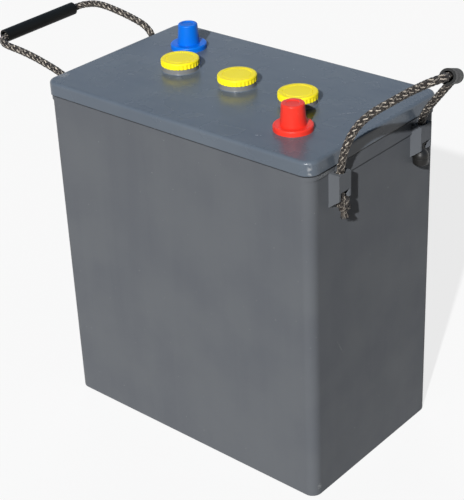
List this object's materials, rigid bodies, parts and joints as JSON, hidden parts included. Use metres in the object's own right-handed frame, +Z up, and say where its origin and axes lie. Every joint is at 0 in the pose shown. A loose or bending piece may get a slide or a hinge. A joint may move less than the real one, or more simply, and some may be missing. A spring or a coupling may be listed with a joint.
{
  "type": "gel battery",
  "caption": "Upright gel block battery with a row of screw vent caps, capped terminals at opposite corners and a rope handle with a tube grip at each end.",
  "frame": {"origin": "middle of the case's underside", "axes": "+Z up, +X along the case towards the end with the plus terminal, +Y across the case away from that terminal"},
  "size_m": [0.5213, 0.186, 0.425],
  "materials": {
    "case_plastic": "satin, dark blue grey",
    "lid_plastic": "satin, dark blue grey",
    "yellow_plastic": "satin gloss, yellow",
    "red_plastic": "soft satin, red",
    "blue_plastic": "soft satin, blue",
    "terminal_lead": "dull lead",
    "positive_paste": "matt, dark brown",
    "negative_paste": "matt, lead grey",
    "separator_sheet": "matt, corrugated sheet",
    "gel": "dull, milky",
    "seal_rubber": "matt black rubber",
    "seat_plastic": "matt black",
    "rope_braid": "braided, black with grey flecks",
    "grip_plastic": "satin black",
    "stopper_plastic": "smooth black"
  },
  "bodies": {
    "root": {"container": "case_plastic", "lid": "lid_plastic", "positive_bushing": "terminal_lead", "negative_bushing": "terminal_lead", "positive_plates_1": "positive_paste", "negative_plates_1": "negative_paste", "separators_1": "separator_sheet", "gel_1": "gel", "positive_plates_2": "positive_paste", "negative_plates_2": "negative_paste", "separators_2": "separator_sheet", "gel_2": "gel", "positive_plates_3": "positive_paste", "negative_plates_3": "negative_paste", "separators_3": "separator_sheet", "gel_3": "gel", "cell_connector_1": "terminal_lead", "cell_connector_2": "terminal_lead", "left_rope_knot": "rope_braid", "left_stopper": "stopper_plastic", "right_rope_knot": "rope_braid", "right_stopper": "stopper_plastic"},
    "plus_cover": {"positive_cover": "red_plastic"},
    "minus_cover": {"negative_cover": "blue_plastic"},
    "cap_ring_1": {"vent_seal_1": "seal_rubber"},
    "cap_1": {"vent_cap_1": "yellow_plastic", "valve_seat_1": "seat_plastic", "valve_1": "seal_rubber"},
    "cap_ring_2": {"vent_seal_2": "seal_rubber"},
    "cap_2": {"vent_cap_2": "yellow_plastic", "valve_seat_2": "seat_plastic", "valve_2": "seal_rubber"},
    "cap_ring_3": {"vent_seal_3": "seal_rubber"},
    "cap_3": {"vent_cap_3": "yellow_plastic", "valve_seat_3": "seat_plastic", "valve_3": "seal_rubber"},
    "left_handle": {"left_rope": "rope_braid"},
    "left_grip_tube": {"left_grip": "grip_plastic"},
    "right_handle": {"right_rope": "rope_braid"},
    "right_grip_tube": {"right_grip": "grip_plastic"}
  },
  "joints": [
    {"name": "plus_cover_lift", "type": "slide", "parent": "root", "child": "plus_cover", "axis": [0, 0, 1], "range_m": [0, 0.03]},
    {"name": "minus_cover_lift", "type": "slide", "parent": "root", "child": "minus_cover", "axis": [0, 0, 1], "range_m": [0, 0.03]},
    {"name": "vent_cap_1_lift", "type": "slide", "parent": "root", "child": "cap_ring_1", "axis": [0, 0, 1], "range_m": [0, 0.0121]},
    {"name": "vent_cap_1_turn", "type": "hinge", "parent": "cap_ring_1", "child": "cap_1", "pos_m": [0.069, 0, 0.3433], "axis": [0, 0, 1], "range_deg": [0, 1440]},
    {"name": "vent_cap_2_lift", "type": "slide", "parent": "root", "child": "cap_ring_2", "axis": [0, 0, 1], "range_m": [0, 0.0121]},
    {"name": "vent_cap_2_turn", "type": "hinge", "parent": "cap_ring_2", "child": "cap_2", "pos_m": [0, 0, 0.3433], "axis": [0, 0, 1], "range_deg": [0, 1440]},
    {"name": "vent_cap_3_lift", "type": "slide", "parent": "root", "child": "cap_ring_3", "axis": [0, 0, 1], "range_m": [0, 0.0121]},
    {"name": "vent_cap_3_turn", "type": "hinge", "parent": "cap_ring_3", "child": "cap_3", "pos_m": [-0.069, 0, 0.3433], "axis": [0, 0, 1], "range_deg": [0, 1440]},
    {"name": "left_handle_swing", "type": "hinge", "parent": "root", "child": "left_handle", "pos_m": [-0.1576, 0, 0.32], "axis": [0, 1, 0], "range_deg": [-23, 77], "deforming": ["left_rope"]},
    {"name": "left_grip_turn", "type": "hinge", "parent": "left_handle", "child": "left_grip_tube", "pos_m": [-0.2609, 0.00045, 0.34425], "axis": [0.01, 0.9998, 0.0191], "continuous": true},
    {"name": "right_handle_swing", "type": "hinge", "parent": "root", "child": "right_handle", "pos_m": [0.1576, 0, 0.32], "axis": [0, -1, 0], "range_deg": [-59, 41], "deforming": ["right_rope"]},
    {"name": "right_grip_turn", "type": "hinge", "parent": "right_handle", "child": "right_grip_tube", "pos_m": [0.2282, -0.00835, 0.4021], "axis": [-0.4278, 0.8247, -0.3701], "continuous": true}
  ],
  "couplings": [
    {"joint": "vent_cap_1_lift", "follows": "vent_cap_1_turn", "m_per_rad": 0.00047746},
    {"joint": "vent_cap_2_lift", "follows": "vent_cap_2_turn", "m_per_rad": 0.00047746},
    {"joint": "vent_cap_3_lift", "follows": "vent_cap_3_turn", "m_per_rad": 0.00047746}
  ]
}
